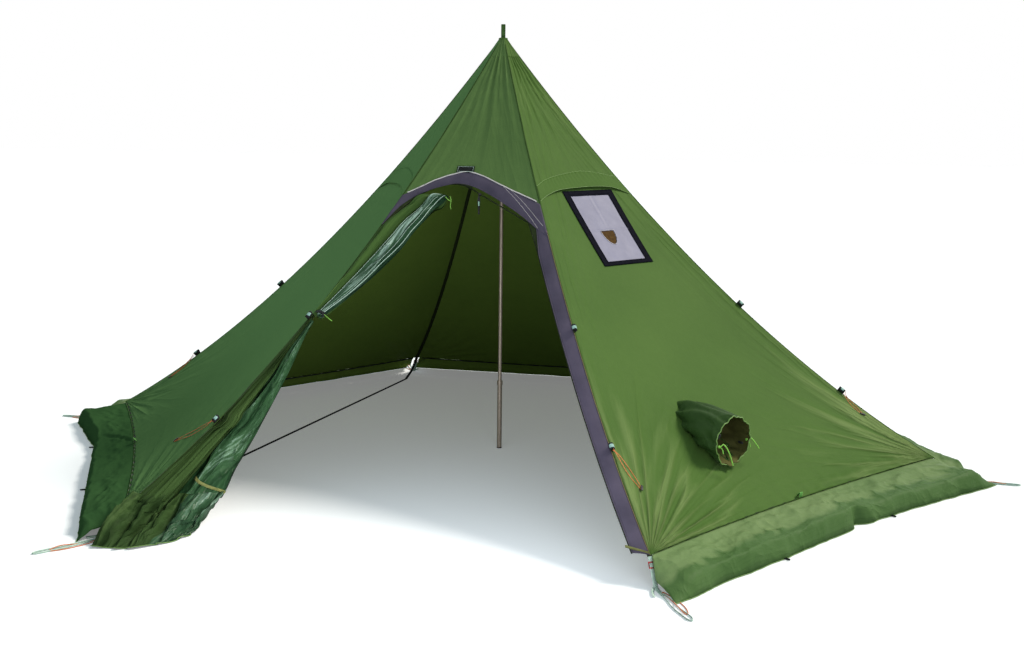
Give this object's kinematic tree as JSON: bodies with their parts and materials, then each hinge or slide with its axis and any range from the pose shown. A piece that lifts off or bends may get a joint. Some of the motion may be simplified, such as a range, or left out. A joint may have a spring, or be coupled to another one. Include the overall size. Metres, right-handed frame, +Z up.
{
  "type": "pyramid tent",
  "caption": "Hexagonal winter tent on a telescoping centre pole, with snow skirts, a rolled-back door, stove jack, vent hoods and tunnel sleeve.",
  "frame": {"origin": "middle of the pole's foot on the ground", "axes": "+Z up along the pole, doorway faces -Y, +X to the right of someone who faces the doorway"},
  "size_m": [5.88, 5.1022, 2.4776],
  "materials": {
    "green_cloth": "coated ripstop cloth",
    "grey_trim": "matt reinforcement cloth",
    "jack_cloth": "matt silicone coated glass cloth",
    "brown_cloth": "matt heat cloth",
    "black_webbing": "woven",
    "pale_webbing": "woven",
    "orange_line": "braided",
    "black_plastic": "satin",
    "black_rubber": "matt",
    "pole_metal": "anodised satin",
    "red_metal": "anodised satin"
  },
  "bodies": {
    "shelter": {"right_side": "green_cloth", "right_skirt": "green_cloth", "back_right_side": "green_cloth", "back_right_skirt": "green_cloth", "back_side": "green_cloth", "back_skirt": "green_cloth", "back_left_side": "green_cloth", "back_left_skirt": "green_cloth", "left_side": "green_cloth", "left_skirt": "green_cloth", "front_side": "green_cloth", "arch_trim": "grey_trim", "side_trim": "grey_trim", "zip_track": "black_plastic", "stove_jack_frame": "black_webbing", "stove_jack_cloth": "jack_cloth", "stove_jack_flap": "brown_cloth", "right_vent_hood": "green_cloth", "left_vent_hood": "green_cloth", "tunnel_sleeve": "green_cloth", "cord_lock_barrel": "black_plastic", "lower_tube": "pole_metal", "pole_foot": "black_rubber", "peak_cup": "black_webbing", "peak_cap": "green_cloth", "peak_loop": "green_cloth", "floor_strap": "black_webbing", "door_roll": "green_cloth", "door_tieback": "pale_webbing", "front_right_ridge_seam": "black_webbing", "front_right_corner_strap": "pale_webbing", "front_right_guyline": "orange_line", "right_ridge_seam": "black_webbing", "right_corner_strap": "pale_webbing", "right_guyline": "orange_line", "back_right_ridge_seam": "black_webbing", "back_right_corner_strap": "pale_webbing", "back_right_guyline": "orange_line", "back_left_ridge_seam": "black_webbing", "back_left_corner_strap": "pale_webbing", "back_left_guyline": "orange_line", "left_ridge_seam": "black_webbing", "left_corner_strap": "pale_webbing", "left_guyline": "orange_line", "front_left_ridge_seam": "black_webbing", "front_left_corner_strap": "pale_webbing", "front_left_guyline": "orange_line"},
    "lock_expander": {"lock_expander": "black_plastic"},
    "upper_pole": {"upper_tube": "pole_metal", "pole_tip": "black_plastic"},
    "zip_slider": {"zip_slider": "black_plastic"},
    "zip_pull": {"zip_pull": "black_webbing"},
    "lock_button": {"cord_lock_button": "black_plastic"},
    "door_flap": {"door_flap": "green_cloth"},
    "front_right_buckle": {"front_right_buckle": "red_metal"},
    "right_buckle": {"right_buckle": "red_metal"},
    "back_right_buckle": {"back_right_buckle": "red_metal"},
    "back_left_buckle": {"back_left_buckle": "red_metal"},
    "left_buckle": {"left_buckle": "red_metal"},
    "front_left_buckle": {"front_left_buckle": "red_metal"}
  },
  "joints": [
    {"name": "pole_height", "type": "slide", "parent": "shelter", "child": "upper_pole", "axis": [0, 0, 1], "range_m": [-0.25, 0]},
    {"name": "pole_lock_turn", "type": "hinge", "parent": "upper_pole", "child": "lock_expander", "pos_m": [0, 0, 0.33], "axis": [0, 0, 1], "range_deg": [-90, 90]},
    {"name": "zip_travel", "type": "slide", "parent": "shelter", "child": "zip_slider", "axis": [0.8535, -0.3471, -0.3886], "range_m": [0, 0.326]},
    {"name": "zip_pull_swing", "type": "hinge", "parent": "zip_slider", "child": "zip_pull", "pos_m": [0.04579, -0.64273, 1.53725], "axis": [1, 0, 0], "range_deg": [-60, 35]},
    {"name": "lock_button_press", "type": "slide", "parent": "shelter", "child": "lock_button", "axis": [0.2161, 0.2321, 0.9484], "range_m": [0, 0.004], "stiffness_N_per_m": 800},
    {"name": "door_sway", "type": "hinge", "parent": "shelter", "child": "door_flap", "pos_m": [-0.7125, -1.23409, 0.84414], "axis": [-0.4025, -0.6972, -0.5933], "range_deg": [-10, 10]},
    {"name": "front_right_buckle_slide", "type": "slide", "parent": "shelter", "child": "front_right_buckle", "axis": [0.2738, -0.4742, -0.8368], "range_m": [-0.02, 0.063]},
    {"name": "right_buckle_slide", "type": "slide", "parent": "shelter", "child": "right_buckle", "axis": [0.5476, 0, -0.8368], "range_m": [-0.02, 0.063]},
    {"name": "back_right_buckle_slide", "type": "slide", "parent": "shelter", "child": "back_right_buckle", "axis": [0.2738, 0.4742, -0.8368], "range_m": [-0.02, 0.063]},
    {"name": "back_left_buckle_slide", "type": "slide", "parent": "shelter", "child": "back_left_buckle", "axis": [-0.2738, 0.4742, -0.8368], "range_m": [-0.02, 0.063]},
    {"name": "left_buckle_slide", "type": "slide", "parent": "shelter", "child": "left_buckle", "axis": [-0.5476, 0, -0.8368], "range_m": [-0.02, 0.063]},
    {"name": "front_left_buckle_slide", "type": "slide", "parent": "shelter", "child": "front_left_buckle", "axis": [-0.2738, -0.4742, -0.8368], "range_m": [-0.02, 0.063]}
  ]
}
